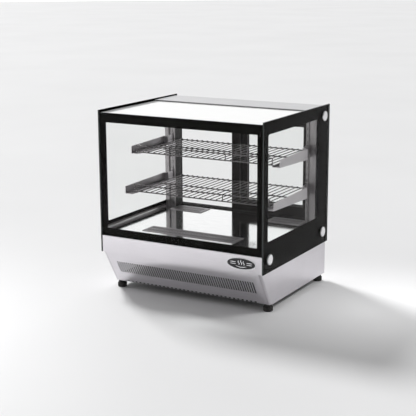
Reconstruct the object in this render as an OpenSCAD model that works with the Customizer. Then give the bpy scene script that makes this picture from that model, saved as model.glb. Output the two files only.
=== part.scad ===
// Countertop hot food display case: a glass cabinet on a heated stainless base, with two wire
// shelves on cantilever brackets and two sliding doors at the rear.
// X is the width, +Y points to the rear (the server's side) and Z is up.
// The origin is under the middle of the case, on the surface that it stands on.

/* [Cabinet] */
// Overall width over the two side glasses
case_w = 702; // [660:2:760]
// Overall depth of the side glasses
case_d = 568; // [568:2:600]
// Overall height, from the counter to the top of the side glasses
case_h = 714; // [706:1:730]
// Height of the feet
foot_h = 28; // [24:1:34]
// Thickness of the glass panes
glass_t = 5; // [4:0.5:6]
// Thickness of the folded sheet panels
sheet = 1.5; // [1:0.25:2]

/* [Base] */
// Height of the fold where the fascia turns inward, also the lower edge of the side glasses
fold_z = 163; // [155:1:170]
// Height of the lower edge of the front glass
sill_z = 228; // [222:1:234]
// Height of the heated deck
deck_z = 250; // [248:1:256]
// How far the lower part of the fascia slopes inward
slope_run = 81; // [60:1:95]
// Gap between the base sides and the side glasses
glass_gap = 4; // [3:0.5:6]
// Number of slots in the fascia vent
vent_slots = 60; // [40:2:60]
// Number of notches in the lower edge of the fascia
comb_notches = 32; // [20:2:32]

/* [Shelves] */
// Height of the lower shelf
lower_shelf_z = 378; // [372:1:384]
// Distance from the lower shelf to the upper one, in slots of the uprights
shelf_step = 6; // [5:1:6]
// Front edge of the upper shelf, measured forward from the middle of the case
upper_reach = 105; // [80:1:120]
// Front edge of the lower shelf, measured forward from the middle of the case
lower_reach = 127; // [100:1:140]
// Number of thin wires in each shelf
shelf_wires = 25; // [15:2:27]

/* [Doors] */
// Width of a sliding door
door_w = 360; // [350:1:370]
// Width of a door's upright frame members
stile_w = 38; // [34:1:42]
// How far the left door stands open
left_open = 265; // [0:5:290]

/* [Hidden] */
$fn = 48;

// Main planes
half_w = case_w / 2;
half_d = case_d / 2;
// Face of the fascia and of the front glass, set back from the edges of the side glasses
front_y = -half_d + 1.5;
behind_glass = front_y + glass_t + 0.6;
inner_x = half_w - glass_t;
base_x = inner_x - glass_gap;
// Small gap between pieces that are fitted one inside the other
fit = 0.3;
// Printed black border on the back of the glass: its distance from the glass and its thickness
print_gap = 0.05;
print_t = 0.3;
top_z = case_h - 9;
pane_z = top_z - glass_t;

// Sloped part of the fascia: angle from the vertical and length down the slope
slope_a = atan(slope_run / (fold_z - foot_h));
slope_len = norm([slope_run, fold_z - foot_h]);
// Rounded corner between the slope and the base side
corner_w = 12;
corner_r = 8;
fascia_x = base_x - corner_w;
vent_pitch = 600 / 60;
vent_slot_w = 5;
vent_top = 46;
vent_len = 58;
comb_pitch = 18.1;
comb_h = 8;

// Recessed service panel at the rear of the base
service_y = half_d - 14;
service_face = service_y + sheet;

// Printed borders
side_clear_front = 45;
side_clear_rear = 99;
side_clear_top = 49;
side_clear_bottom = 113;
front_clear_x = 322;
front_clear_z = [259, case_h - 46];
window_r = 8;

// Round glass clamps: [y, z] of each one on a side glass
clamps = [[-234, 211], [234, 211], [234, case_h - 42]];
clamp_r = 20;
clamp_t = 5;
clamp_stud_r = 4;
clamp_hole_r = 6;

// Rear frame and door planes. The wide front part of a post stands before the doors.
post_in = base_x - 24;
column_in = base_x - 42;
column_y = half_d - 94;
post_y = [half_d - 70, half_d - 8];
door_t = 12;
door_y = [half_d - 42, half_d - 26];
track_y = [half_d - 46, half_d - 10];
track_floor = 2;
door_z = [deck_z + 6, case_h - 50];
door_edge = post_in + 8;
rail_h = 42;
door_glass_t = 4;
glide_x = 60;
pull_w = 22;
pull_h = 110;
pull_depth = 8;

// Slotted uprights and brackets
pilaster_y = [half_d - 104, column_y];
groove_x = [base_x - 32, base_x - 17];
groove_depth = 6;
slot_pitch = 25.4;
upper_shelf_z = lower_shelf_z + shelf_step * slot_pitch;
bracket_x = base_x - 19;
bracket_t = 2;
bracket_w = 32;
// Where a bracket steps inward to meet the slots of its upright
bracket_jog_y = half_d - 143;
hook_x = column_in + 4;
hook_low = -7.4;
bracket_upper_front = -101;
bracket_lower_front = -149;

// Shelf wires
frame_wire_r = 2.5;
thin_wire_r = 1.75;
shelf_half = column_in - 2;
shelf_rear = half_d - 52;
rim_h = 25;

// Feet
foot_r = 18;
foot_x = base_x - 19;
foot_front_y = front_y + slope_run + 15.5;
foot_rear_y = half_d - 26;

// Deck vents: [x0, x1, y0, y1]
vents = [[-200, 200, -223, -144], [-298, -148, 135, 215], [148, 298, 135, 215]];

// Rounded inside of the fold along each side of the deck: radius, distance of its axis from the
// two faces, and how far it reaches along them
cove_r = 9;
cove_axis = 8.4;
cove_leg = 5.2;

// Hot air duct and fan below the deck
duct_x = 316;
duct_y = [-236, 214];
duct_z = [112, deck_z - 2.5];
fan_size = 120;
fan_t = 38;
fan_z = 179;
fan_y = 20;
fan_bore_r = 56;
fan_hub_r = 22;
fan_pin_r = 3;

// Controls on the service panel: [x, z] of each
controller_at = [150, 150];
switches_at = [[60, 150], [20, 150]];
gland_at = [-250, 75];

// Shared shapes -----------------------------------------------------------------------------

// A box from its lowest corner to its highest corner
module block(lo, hi) {
    translate(lo)
        cube([hi[0] - lo[0], hi[1] - lo[1], hi[2] - lo[2]]);
}

// Children, and their mirror image on the other side of the case
module both_sides() {
    children();
    mirror([1, 0, 0])
        children();
}

// Children for the left (-1) or right (1) side of the case, drawn on the right
module on_side(side) {
    mirror([side < 0 ? 1 : 0, 0, 0])
        children();
}

// Draws in the plane of the slope: x is across, y is up the slope from the fold, z is outward
module on_slope() {
    translate([0, front_y, fold_z])
        rotate([90 + slope_a, 0, 0])
            children();
}

// Extrudes a drawing of [y, z] along X, from x0 to x1
module across_x(x0, x1) {
    translate([x0, 0, 0])
        rotate([90, 0, 90])
            linear_extrude(x1 - x0)
                children();
}

// Extrudes a drawing of [x, z] along Y, from y0 to y1
module along_y(y0, y1) {
    translate([0, y1, 0])
        rotate([90, 0, 0])
            linear_extrude(y1 - y0)
                children();
}

// Flat rectangle from corner to corner
module plate(lo, hi) {
    translate(lo)
        square([hi[0] - lo[0], hi[1] - lo[1]]);
}

// Corner points of a rectangle with rounded corners
function rounded(lo, hi, r, steps = 6) = [
    for (c = [0:3], i = [0:steps])
        let (a = 180 + 90 * c + 90 * i / steps,
             cx = (c == 0 || c == 3) ? lo[0] + r : hi[0] - r,
             cy = (c == 0 || c == 1) ? lo[1] + r : hi[1] - r)
        [cx + r * cos(a), cy + r * sin(a)]
];

// Base --------------------------------------------------------------------------------------

module foot_places() {
    for (x = [-foot_x, foot_x], y = [foot_front_y, foot_rear_y])
        translate([x, y, 0])
            children();
}

module base_pan() {
    color("silver")
        difference() {
            union() {
                block([-base_x + sheet + fit, front_y + slope_run + 4, foot_h],
                      [base_x - sheet - fit, service_y - fit, foot_h + sheet]);
                both_sides()
                    block([base_x - 2 * sheet - fit, front_y + slope_run + 14, foot_h],
                          [base_x - sheet - fit, service_y - fit, foot_h + 20]);
                block([-base_x + sheet + fit, service_y - sheet - fit, foot_h],
                      [base_x - sheet - fit, service_y - fit, foot_h + 20]);
            }
            foot_places()
                translate([0, 0, foot_h - 1])
                    cylinder(h = sheet + 2, r = 4.5);
            for (i = [-5:5])
                block([i * 16 - 3, 20, foot_h - 1], [i * 16 + 3, 110, foot_h + sheet + 1]);
        }
}

module fascia_vent_slots() {
    for (i = [0:vent_slots - 1])
        translate([(i - (vent_slots - 1) / 2) * vent_pitch - vent_slot_w / 2, -vent_top - vent_len])
            square([vent_slot_w, vent_len]);
}

module fascia_comb() {
    for (i = [0:comb_notches - 1])
        translate([(i - (comb_notches - 1) / 2) * comb_pitch - comb_pitch / 4, -slope_len - 1])
            square([comb_pitch / 2, comb_h + 1]);
}

module front_fascia() {
    color("gainsboro") {
        block([-inner_x + 1, front_y, fold_z], [inner_x - 1, front_y + sheet, sill_z]);
        block([-base_x + 3, front_y, sill_z - sheet], [base_x - 3, front_y + 14, sill_z]);
        on_slope()
            translate([0, 0, -sheet])
                linear_extrude(sheet)
                    difference() {
                        plate([-fascia_x, -slope_len], [fascia_x, 0]);
                        fascia_vent_slots();
                        fascia_comb();
                    }
    }
}

// Section through the rounded corner of the base side: x is across, y is outward
module base_corner_section() {
    plate([fascia_x + fit, -sheet], [base_x - corner_r, 0]);
    plate([base_x - sheet, -corner_w], [base_x, -corner_r]);
    translate([base_x - corner_r, -corner_r])
        intersection() {
            difference() {
                circle(r = corner_r);
                circle(r = corner_r - sheet);
            }
            square(corner_r + 1);
        }
}

// The flat of a base side starts this far behind the slope, where the rounded corner ends
side_set_back = corner_r / cos(slope_a);

module base_side(side) {
    front = front_y + sheet + fit;
    slope_top = fold_z + (side_set_back - sheet - fit) / tan(slope_a);
    color("gainsboro")
        on_side(side) {
            difference() {
                across_x(base_x - sheet, base_x)
                    polygon([
                        [half_d, foot_h],
                        [half_d, deck_z - 2],
                        [behind_glass, deck_z - 2],
                        [behind_glass, sill_z - fit],
                        [front, sill_z - fit],
                        [front, slope_top],
                        [front_y + slope_run + side_set_back, foot_h]
                    ]);
                for (c = [clamps[0], clamps[1]])
                    translate([base_x - 5, c[0], c[1]])
                        rotate([0, 90, 0])
                            cylinder(h = 10, r = clamp_stud_r + fit);
            }
            block([base_x - 14, half_d - sheet, foot_h], [base_x, half_d, deck_z - 2]);
            on_slope()
                translate([0, -1, 0])
                    rotate([90, 0, 0])
                        linear_extrude(slope_len - 1)
                            base_corner_section();
        }
}

module base_side_left() {
    base_side(-1);
}

module base_side_right() {
    base_side(1);
}

// Service panel with two groups of louvre slots and the cut-outs for the controls
module base_rear_panel() {
    louvre_w = 90;
    color("silver")
        difference() {
            block([-base_x + sheet + fit, service_y, foot_h + sheet],
                  [base_x - sheet - fit, service_face, deck_z - 2.5]);
            for (x = [-150, -45], i = [0:9])
                block([x - louvre_w / 2, service_y - 1, 65 + i * 14],
                      [x + louvre_w / 2, service_face + 1, 70 + i * 14]);
            translate([controller_at[0] - 36, service_y - 1, controller_at[1] - 14.5])
                cube([72, sheet + 2, 29]);
            for (s = switches_at)
                translate([s[0] - 11, service_y - 1, s[1] - 15])
                    cube([22, sheet + 2, 30]);
            translate([gland_at[0], service_face + 1, gland_at[1]])
                rotate([90, 0, 0])
                    cylinder(h = sheet + 2, r = 8.1);
        }
}

module deck() {
    front = -half_d + 26;
    fold_x = inner_x - 1 - sheet;
    color("white")
        difference() {
            union() {
                block([-inner_x + 1, behind_glass, deck_z - 2], [inner_x - 1, half_d - 2, deck_z]);
                block([-base_x + 3, behind_glass, sill_z + 1],
                      [base_x - 3, behind_glass + sheet, deck_z]);
                both_sides() {
                    block([fold_x, front, deck_z - 2], [inner_x - 1, post_y[0] - 1, deck_z + 12]);
                    difference() {
                        block([fold_x - cove_leg, front, deck_z - 1],
                              [fold_x + 0.5, pilaster_y[0] - 1, deck_z + cove_leg]);
                        translate([fold_x - cove_axis, half_d, deck_z + cove_axis])
                            rotate([90, 0, 0])
                                cylinder(h = case_d, r = cove_r);
                    }
                }
            }
            for (v = vents)
                block([v[0] + 6, v[2] + 6, deck_z - 3], [v[1] - 6, v[3] - 6, deck_z + 1]);
        }
}

// Slotted plates over the openings of the hot air duct
module vent_covers() {
    slot_pitch_x = 12;
    color("gray")
        for (v = vents) {
            mid_x = (v[0] + v[1]) / 2;
            mid_y = (v[2] + v[3]) / 2;
            count = floor((v[1] - v[0] - 20) / slot_pitch_x);
            difference() {
                block([v[0], v[2], deck_z], [v[1], v[3], deck_z + 2]);
                for (i = [0:count - 1], row = [-1, 1])
                    translate([mid_x + (i - (count - 1) / 2) * slot_pitch_x - 2.5,
                               mid_y + row * 18 - 14, deck_z - 1])
                        cube([5, 28, 4]);
            }
        }
}

// Glass -------------------------------------------------------------------------------------

module side_glass(side) {
    color("lightblue", 0.3)
        on_side(side)
            difference() {
                block([inner_x, -half_d, fold_z], [half_w, half_d, case_h]);
                for (c = clamps)
                    translate([inner_x - 1, c[0], c[1]])
                        rotate([0, 90, 0])
                            cylinder(h = glass_t + 2, r = clamp_hole_r);
            }
}

module side_glass_left() {
    side_glass(-1);
}

module side_glass_right() {
    side_glass(1);
}

// Black border printed on the inner face of a side glass
module side_border(side) {
    color("black")
        on_side(side)
            across_x(inner_x - print_gap - print_t, inner_x - print_gap)
                difference() {
                    plate([-half_d, fold_z], [half_d, case_h]);
                    polygon(rounded([-half_d + side_clear_front, fold_z + side_clear_bottom],
                                    [half_d - side_clear_rear, case_h - side_clear_top], window_r));
                    for (c = clamps)
                        translate(c)
                            circle(r = clamp_hole_r + 7);
                }
}

module side_border_left() {
    side_border(-1);
}

module side_border_right() {
    side_border(1);
}

module front_glass() {
    color("lightblue", 0.3)
        block([-inner_x + 0.5, front_y, sill_z], [inner_x - 0.5, front_y + glass_t, top_z]);
}

// Black border printed on the inner face of the front glass
module front_border() {
    color("black")
        along_y(front_y + glass_t + print_gap, front_y + glass_t + print_gap + print_t)
            difference() {
                plate([-inner_x + 0.5, sill_z], [inner_x - 0.5, top_z]);
                polygon(rounded([-front_clear_x, front_clear_z[0]],
                                [front_clear_x, front_clear_z[1]], 2));
            }
}

// Top ---------------------------------------------------------------------------------------

joint_y = 100;

module top_glass() {
    color("white")
        block([-inner_x + 1, behind_glass, pane_z], [inner_x - 1, joint_y, top_z]);
}

module top_gasket() {
    color("black")
        block([-inner_x + 1, joint_y + 0.2, pane_z], [inner_x - 1, joint_y + 6, top_z + 1]);
}

// Shallow tray, upside down, that closes the top over the doors
module top_rear_panel() {
    panel_y = [joint_y + 6.2, half_d - 16];
    color("silver")
        difference() {
            block([-inner_x + 1, panel_y[0], pane_z], [inner_x - 1, panel_y[1], top_z + 4]);
            block([-inner_x + 1 + sheet, panel_y[0] + sheet, pane_z - 1],
                  [inner_x - 1 - sheet, panel_y[1] - sheet, top_z + 4 - sheet]);
        }
}

// Angle profiles in the front corners, behind the printed borders
module front_corner_posts() {
    leg = 18;
    side = inner_x - 0.6;
    color("black")
        both_sides() {
            block([side - leg, behind_glass, deck_z], [side, behind_glass + 2, pane_z - fit]);
            block([side - 2, behind_glass, deck_z], [side, behind_glass + leg, pane_z - fit]);
        }
}

// Angle profiles along the tops of the side glasses, which carry the top glass
module top_side_rails() {
    side = inner_x - 0.6;
    rail_y = [-half_d + 26, pilaster_y[0] - 1];
    color("black")
        both_sides() {
            block([side - 16, rail_y[0], pane_z - 2 - fit], [side, rail_y[1], pane_z - fit]);
            block([side - 2, rail_y[0], pane_z - 20], [side, rail_y[1], pane_z - fit]);
        }
}

// Channel behind the top of the front glass
module front_top_rail() {
    front = behind_glass + 2.4;
    color("black") {
        block([-inner_x + 20, front, pane_z - 20], [inner_x - 20, front + 2, pane_z - fit]);
        block([-inner_x + 20, front, pane_z - 2 - fit], [inner_x - 20, front + 16, pane_z - fit]);
    }
}

// Rail under the joint of the top glass and the rear panel
module top_cross_rail() {
    color("black") {
        block([-inner_x + 20, joint_y - 8, pane_z - 2 - fit], [inner_x - 20, joint_y + 20, pane_z - fit]);
        block([-inner_x + 20, joint_y + 5, pane_z - 16], [inner_x - 20, joint_y + 7, pane_z - fit]);
    }
}

lamp_y = behind_glass + 33;

// Channel of the shelf light, open at the bottom
module lamp_housing() {
    length = 290;
    color("white")
        difference() {
            block([-length, lamp_y - 13, pane_z - 18], [length, lamp_y + 13, pane_z - fit]);
            block([-length + 2, lamp_y - 11.5, pane_z - 19],
                  [length - 2, lamp_y + 11.5, pane_z - 2 - fit]);
        }
}

module led_tube() {
    length = 286;
    color("white")
        translate([-length, lamp_y, pane_z - 11])
            rotate([0, 90, 0])
                cylinder(h = 2 * length, r = 6.5);
}

// Rear frame --------------------------------------------------------------------------------

// Post: a wide front tube, then a web along the side and a rear lip, with the doors between
module rear_post(side) {
    stud = clamps[2];
    color("dimgray")
        on_side(side)
            difference() {
                union() {
                    block([post_in, post_y[0], deck_z], [base_x, post_y[1], pane_z - fit]);
                    block([column_in, column_y, deck_z], [base_x, track_y[0] - fit, pane_z - fit]);
                }
                block([column_in + sheet, column_y + sheet, deck_z - 1],
                      [base_x - sheet, track_y[0] - fit - sheet, stud[1] - 10]);
                block([column_in + sheet, column_y + sheet, deck_z - 1],
                      [post_in, track_y[0] - fit - sheet, pane_z - fit - sheet]);
                block([post_in - 1, track_y[0] + 2.5, deck_z - 1],
                      [post_in + 12, post_y[1] - 3.5, pane_z]);
                block([post_in + sheet, post_y[0] + sheet, deck_z - 1],
                      [base_x - sheet, track_y[0] + 2.5 - sheet, stud[1] - 10]);
                translate([base_x - 12, stud[0], stud[1]])
                    rotate([0, 90, 0])
                        cylinder(h = 13, r = clamp_stud_r + 0.05);
            }
}

module rear_post_left() {
    rear_post(-1);
}

module rear_post_right() {
    rear_post(1);
}

// Box section over the doors
module rear_header() {
    color("dimgray")
        difference() {
            block([-post_in + fit, track_y[0], door_z[1] + 10],
                  [post_in - fit, track_y[1], pane_z - fit]);
            block([-post_in - 1, track_y[0] + 2, door_z[1] + 12],
                  [post_in + 1, track_y[1] - 2, pane_z - 2 - fit]);
        }
}

// Lower track: a floor with two lips and a rib under each door
module door_track_bottom() {
    color("black") {
        block([-post_in + fit, track_y[0], deck_z], [post_in - fit, track_y[1], deck_z + track_floor]);
        for (y = [track_y[0], track_y[1] - 2])
            block([-post_in + fit, y, deck_z], [post_in - fit, y + 2, deck_z + 4]);
        for (y = door_y)
            block([-post_in + fit, y + door_t / 2 - 1, deck_z],
                  [post_in - fit, y + door_t / 2 + 1, deck_z + 5]);
    }
}

// Upper track: three lips that the tops of the doors run between
module door_track_top() {
    lips = [track_y[0], (door_y[0] + door_t + door_y[1]) / 2 - 1, track_y[1] - 2];
    color("black") {
        block([-post_in + fit, track_y[0], door_z[1] + 6],
              [post_in - fit, track_y[1], door_z[1] + 9.7]);
        for (y = lips)
            block([-post_in + fit, y, door_z[1] - 8], [post_in - fit, y + 2, door_z[1] + 9]);
    }
}

function slot_heights() = [
    for (n = [-4:12])
        lower_shelf_z + hook_low + n * slot_pitch
];

// Slotted upright: a shallow channel with a groove along the middle of its face
module pilaster(side) {
    front = pilaster_y[0];
    color("darkgray")
        on_side(side)
            difference() {
                block([column_in, front, deck_z], [base_x, pilaster_y[1] - fit, pane_z - 5]);
                block([groove_x[0], front - 1, deck_z - 1], [groove_x[1], front + groove_depth, pane_z]);
                difference() {
                    block([column_in + sheet, front + sheet, deck_z - 1],
                          [base_x - sheet, pilaster_y[1] + 1, pane_z]);
                    block([groove_x[0] - sheet, front, deck_z - 2],
                          [groove_x[1] + sheet, front + groove_depth + sheet, pane_z + 1]);
                }
                for (z = slot_heights())
                    block([hook_x - 0.6, front - 1, z - 6],
                          [hook_x + bracket_t + 0.6, front + sheet + 1, z + 6]);
            }
}

module pilaster_left() {
    pilaster(-1);
}

module pilaster_right() {
    pilaster(1);
}

// Cantilever bracket for a shelf at height s: a tapered web that steps inward near its rear end
// and has two hooks there, a floor that follows its lower edge, and an inner lip with a level top
// that the shelf lies on
module bracket(s, front) {
    back = pilaster_y[0] - fit;
    jog = bracket_jog_y;
    low = [s - 20, s - 9];
    jog_low = s - 18;
    jog_top = s + 26;
    lip_top = s - frame_wire_r - fit;
    inner = bracket_x - bracket_w + bracket_t;
    across_x(bracket_x, bracket_x + bracket_t)
        polygon([[jog, jog_low], [jog, jog_top], [front, s + 20], [front, low[1]]]);
    along_y(jog - bracket_t, jog)
        polygon([[hook_x, jog_low], [bracket_x + bracket_t, jog_low],
                 [bracket_x + bracket_t, jog_top], [hook_x, jog_top]]);
    across_x(hook_x, hook_x + bracket_t) {
        polygon([[back, low[0]], [back, s + 34], [jog - bracket_t, jog_top], [jog - bracket_t, jog_low]]);
        for (z = [s + hook_low, s + hook_low + slot_pitch])
            polygon([[back - 1, z - 5], [back + 2.4, z - 5], [back + 2.4, z - 9], [back + 5.4, z - 9],
                     [back + 5.4, z + 4], [back - 1, z + 4]]);
    }
    across_x(inner, bracket_x + bracket_t)
        polygon([[jog, jog_low], [jog, jog_low + 1.5], [front, low[1] + 1.5], [front, low[1]]]);
    across_x(inner, hook_x + bracket_t)
        polygon([[back, low[0]], [back, low[0] + 1.5], [jog - bracket_t, jog_low + 1.5],
                 [jog - bracket_t, jog_low]]);
    across_x(inner, inner + bracket_t)
        polygon([[back, low[0]], [back, lip_top], [front, lip_top], [front, low[1]],
                 [jog, jog_low]]);
}

module upper_brackets() {
    color("silver")
        both_sides()
            bracket(upper_shelf_z, bracket_upper_front);
}

module lower_brackets() {
    color("silver")
        both_sides()
            bracket(lower_shelf_z, bracket_lower_front);
}

// A straight round wire from one point to another, along X, Y or Z
module wire_x(x0, x1, y, z, r) {
    translate([x0, y, z])
        rotate([0, 90, 0])
            cylinder(h = x1 - x0, r = r);
}

module wire_y(y0, y1, x, z, r) {
    translate([x, y1, z])
        rotate([90, 0, 0])
            cylinder(h = y1 - y0, r = r);
}

module wire_z(z0, z1, x, y, r) {
    translate([x, y, z0])
        cylinder(h = z1 - z0, r = r);
}

// Wire shelf at height s, with a raised rim along its front edge
module wire_shelf(s, reach) {
    front = -reach;
    middle = (front + shelf_rear) / 2;
    thin_z = s + frame_wire_r + thin_wire_r - 0.6;
    pitch = 2 * (shelf_half - 8) / (shelf_wires - 1);
    color("gainsboro") {
        for (y = [front, middle, shelf_rear])
            wire_x(-shelf_half, shelf_half, y, s, frame_wire_r);
        for (i = [0:shelf_wires - 1])
            wire_y(front - 2, shelf_rear + 2, -shelf_half + 8 + i * pitch, thin_z, thin_wire_r);
        wire_x(-shelf_half, shelf_half, front, s + rim_h, frame_wire_r);
        for (x = [-shelf_half + 3, -shelf_half / 3, shelf_half / 3, shelf_half - 3])
            wire_z(s, s + rim_h, x, front, frame_wire_r - 0.6);
    }
}

module shelf_upper() {
    wire_shelf(upper_shelf_z, upper_reach);
}

module shelf_lower() {
    wire_shelf(lower_shelf_z, lower_reach);
}

// Sliding doors -----------------------------------------------------------------------------

// Left edge of each door as it stands: the left one partly open, the right one shut
door_at = [-door_edge + left_open, door_edge - door_w];

module glide_pocket(z, up) {
    translate([-15.3, -5.3, up > 0 ? z : z - 8])
        cube([30.6, 10.6, 8]);
}

// Frame of a door with its left edge at x0 in track number k, and a pocket for the pull
module door_frame(x0, k, pull_x) {
    y0 = door_y[k];
    mid_y = y0 + door_t / 2;
    window = [[x0 + stile_w, door_z[0] + rail_h], [x0 + door_w - stile_w, door_z[1] - rail_h]];
    color("dimgray")
        difference() {
            block([x0, y0, door_z[0]], [x0 + door_w, y0 + door_t, door_z[1]]);
            block([window[0][0], y0 - 1, window[0][1]], [window[1][0], y0 + door_t + 1, window[1][1]]);
            block([window[0][0] - 6, mid_y - 2.1, window[0][1] - 6],
                  [window[1][0] + 6, mid_y + 2.1, window[1][1] + 6]);
            for (x = [x0 + glide_x, x0 + door_w - glide_x]) {
                translate([x, mid_y, 0])
                    glide_pocket(door_z[0] - 1, 1);
                translate([x, mid_y, 0])
                    glide_pocket(door_z[1] + 1, -1);
            }
            translate([pull_x, 0, (door_z[0] + door_z[1]) / 2])
                block([-pull_w / 2 - 0.2, y0 + door_t - pull_depth - 0.2, -pull_h / 2 - 0.2],
                      [pull_w / 2 + 0.2, y0 + door_t + 1, pull_h / 2 + 0.2]);
        }
}

module door_glass(x0, k) {
    mid_y = door_y[k] + door_t / 2;
    color("lightblue", 0.3)
        block([x0 + stile_w - 5.5, mid_y - door_glass_t / 2, door_z[0] + rail_h - 5.5],
              [x0 + door_w - stile_w + 5.5, mid_y + door_glass_t / 2, door_z[1] - rail_h + 5.5]);
}

// Flush finger pull: a cup with a thin flange, open to the rear
module door_pull(x, k) {
    face = door_y[k] + door_t;
    translate([x, 0, (door_z[0] + door_z[1]) / 2])
        color("silver")
            difference() {
                union() {
                    block([-pull_w / 2, face - pull_depth, -pull_h / 2], [pull_w / 2, face, pull_h / 2]);
                    block([-pull_w / 2 - 2, face, -pull_h / 2 - 2],
                          [pull_w / 2 + 2, face + 1, pull_h / 2 + 2]);
                }
                block([-pull_w / 2 + 1.5, face - pull_depth + 1.5, -pull_h / 2 + 1.5],
                      [pull_w / 2 - 1.5, face + 2, pull_h / 2 - 1.5]);
            }
}

// Nylon glides: two that straddle the rib of the lower track and two that steady the top
module door_glides(x0, k) {
    mid_y = door_y[k] + door_t / 2;
    color("ivory")
        for (x = [x0 + glide_x, x0 + door_w - glide_x]) {
            difference() {
                block([x - 15, mid_y - 5, deck_z + track_floor + 0.3],
                      [x + 15, mid_y + 5, door_z[0] + 6.8]);
                block([x - 16, mid_y - 1.3, deck_z], [x + 16, mid_y + 1.3, deck_z + 5.3]);
            }
            block([x - 15, mid_y - 5, door_z[1] - 6.8], [x + 15, mid_y + 5, door_z[1] + 4]);
        }
}

left_pull_x = door_at[0] + stile_w / 2;
right_pull_x = door_at[1] + door_w - stile_w / 2;

module door_left_frame() {
    door_frame(door_at[0], 0, left_pull_x);
}

module door_left_glass() {
    door_glass(door_at[0], 0);
}

module door_left_pull() {
    door_pull(left_pull_x, 0);
}

module door_left_glides() {
    door_glides(door_at[0], 0);
}

module door_right_frame() {
    door_frame(door_at[1], 1, right_pull_x);
}

module door_right_glass() {
    door_glass(door_at[1], 1);
}

module door_right_pull() {
    door_pull(right_pull_x, 1);
}

module door_right_glides() {
    door_glides(door_at[1], 1);
}

// Glass clamps, feet and badge --------------------------------------------------------------

// Places children at each clamp of both side glasses, with +X pointing outward
module clamp_places() {
    both_sides()
        for (c = clamps)
            translate([0, c[0], c[1]])
                children();
}

module glass_caps() {
    color("silver")
        clamp_places()
            translate([half_w, 0, 0])
                rotate([0, 90, 0])
                    rotate_extrude($fn = 64)
                        polygon([[0, 0], [clamp_r, 0], [clamp_r, clamp_t - 2.5],
                                 [clamp_r - 1.2, clamp_t - 0.7], [clamp_r - 3, clamp_t], [0, clamp_t]]);
}

// Stud through the glass with its spacer washer
module glass_cap_studs() {
    color("gray")
        clamp_places() {
            translate([base_x - 10, 0, 0])
                rotate([0, 90, 0])
                    cylinder(h = half_w - base_x + 10, r = clamp_stud_r);
            translate([base_x, 0, 0])
                rotate([0, 90, 0])
                    cylinder(h = glass_gap, r = 12);
        }
}

module feet() {
    color("black")
        foot_places()
            difference() {
                rotate_extrude()
                    polygon([[0, 0], [foot_r - 2, 0], [foot_r, 2], [foot_r, foot_h - 12],
                             [foot_r - 4, foot_h - 8], [foot_r - 4, foot_h], [0, foot_h]]);
                translate([0, 0, 8])
                    cylinder(h = foot_h, r = 4.05);
            }
}

module foot_studs() {
    color("gray")
        foot_places() {
            translate([0, 0, 8])
                cylinder(h = foot_h + 6, r = 4);
            translate([0, 0, foot_h + sheet])
                cylinder(h = 6.5, r = 7.5, $fn = 6);
        }
}

// Outline of an oval, with half its width and half its height
function oval(a, b) = [for (i = [0:71]) [a * cos(5 * i), b * sin(5 * i)]];

// Plain oval plate on the fascia, with a raised rim
module badge() {
    a = 60;
    b = 23;
    rim = 3;
    color("black")
        translate([262, front_y, 196])
            rotate([90, 0, 0]) {
                linear_extrude(1)
                    polygon(oval(a - 0.5, b - 0.5));
                linear_extrude(1.5)
                    difference() {
                        polygon(oval(a, b));
                        polygon(oval(a - rim, b - rim));
                    }
            }
}

// Heating, below the deck -------------------------------------------------------------------

// Tray under the deck with a partition that carries the fan
module hot_air_duct() {
    wall = 1.2;
    color("lightgray")
        difference() {
            union() {
                difference() {
                    block([-duct_x, duct_y[0], duct_z[0]], [duct_x, duct_y[1], duct_z[1]]);
                    block([-duct_x + wall, duct_y[0] + wall, duct_z[0] + wall],
                          [duct_x - wall, duct_y[1] - wall, duct_z[1] + 1]);
                }
                block([-duct_x + 0.5, fan_y - 2, duct_z[0] + 0.5], [duct_x - 0.5, fan_y, duct_z[1]]);
            }
            translate([0, fan_y + 1, fan_z])
                rotate([90, 0, 0])
                    cylinder(h = 4, r = fan_bore_r);
        }
}

// Square fan frame with struts that carry the motor and its pin
module fan_frame() {
    half = fan_size / 2;
    color("dimgray")
        translate([0, fan_y, fan_z]) {
            difference() {
                block([-half, 0, -half], [half, fan_t, half]);
                translate([0, fan_t + 1, 0])
                    rotate([90, 0, 0])
                        cylinder(h = fan_t + 2, r = fan_bore_r + 1);
            }
            for (a = [0, 90])
                rotate([0, a + 45, 0])
                    block([-fan_bore_r - 2, fan_t - 4, -3], [fan_bore_r + 2, fan_t, 3]);
            translate([0, fan_t, 0])
                rotate([90, 0, 0])
                    cylinder(h = 8, r = fan_hub_r);
            translate([0, fan_t - 7, 0])
                rotate([90, 0, 0])
                    cylinder(h = 20, r = fan_pin_r);
        }
}

// Hub with seven flat, pitched blades
module fan_rotor() {
    blades = 7;
    color("black")
        translate([0, fan_y, fan_z])
            difference() {
                union() {
                    translate([0, fan_t - 9, 0])
                        rotate([90, 0, 0])
                            cylinder(h = 20, r = fan_hub_r);
                    intersection() {
                        for (i = [0:blades - 1])
                            rotate([0, i * 360 / blades, 0])
                                translate([0, fan_t - 19, 0])
                                    rotate([0, 0, 50])
                                        block([-1, -14, fan_hub_r - 3], [1, 14, fan_bore_r]);
                        translate([0, fan_t - 9, 0])
                            rotate([90, 0, 0])
                                cylinder(h = 20, r = fan_bore_r - 2);
                    }
                }
                translate([0, fan_t + 1, 0])
                    rotate([90, 0, 0])
                        cylinder(h = fan_t, r = fan_pin_r + 0.05);
            }
}

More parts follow.
